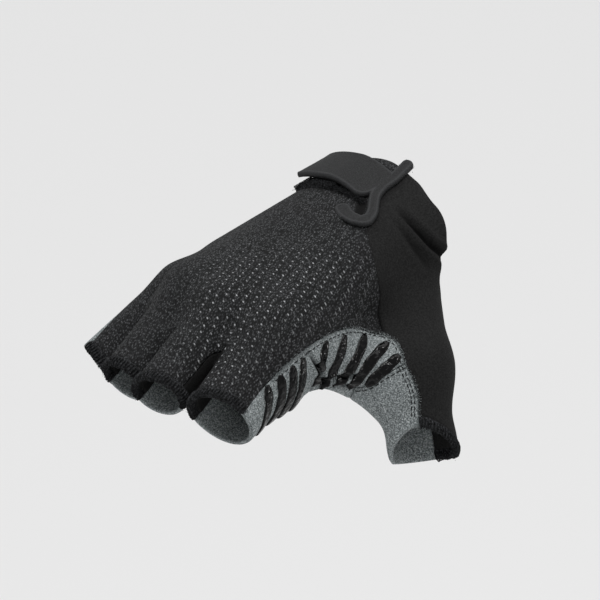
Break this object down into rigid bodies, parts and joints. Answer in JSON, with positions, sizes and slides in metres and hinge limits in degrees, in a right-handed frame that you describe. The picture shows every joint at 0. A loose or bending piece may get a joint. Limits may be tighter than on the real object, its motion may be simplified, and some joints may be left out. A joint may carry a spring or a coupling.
{
  "type": "cycling glove",
  "caption": "Short-finger cycling glove for the right hand in its worn form: knit back, suede palm with grip bars, separate thumb and a rubber closure tab at the wrist.",
  "frame": {"origin": "centre of the wrist opening", "axes": "+Y out of the wrist opening along the arm, +X towards the thumb side, +Z out of the back of the hand"},
  "size_m": [0.1256, 0.1448, 0.0908],
  "materials": {
    "knit": "matte knit mesh",
    "microfibre": "matte smooth",
    "suede": "matte napped",
    "hem": "matte overlocked",
    "bristle": "matte bristly",
    "rubber": "fine matte texture",
    "silicone": "glossy"
  },
  "bodies": {
    "root": {"back_panel": "knit", "palm_panel": "suede", "thumb_back_panel": "microfibre", "thumb_palm_panel": "suede", "fourchette_index_middle": "microfibre", "fourchette_middle_ring": "microfibre", "fourchette_ring_little": "microfibre", "hem_index": "hem", "hem_middle": "hem", "hem_ring": "hem", "hem_little": "hem", "thumb_hem": "hem", "cuff_binding": "hem", "loop_patch": "bristle", "closure_tab": "rubber", "grip_01": "silicone", "grip_02": "silicone", "grip_03": "silicone", "grip_04": "silicone", "grip_05": "silicone", "grip_06": "silicone", "grip_07": "silicone", "grip_08": "silicone", "grip_09": "silicone", "grip_10": "silicone", "grip_11": "silicone", "grip_12": "silicone", "grip_13": "silicone"}
  },
  "joints": []
}
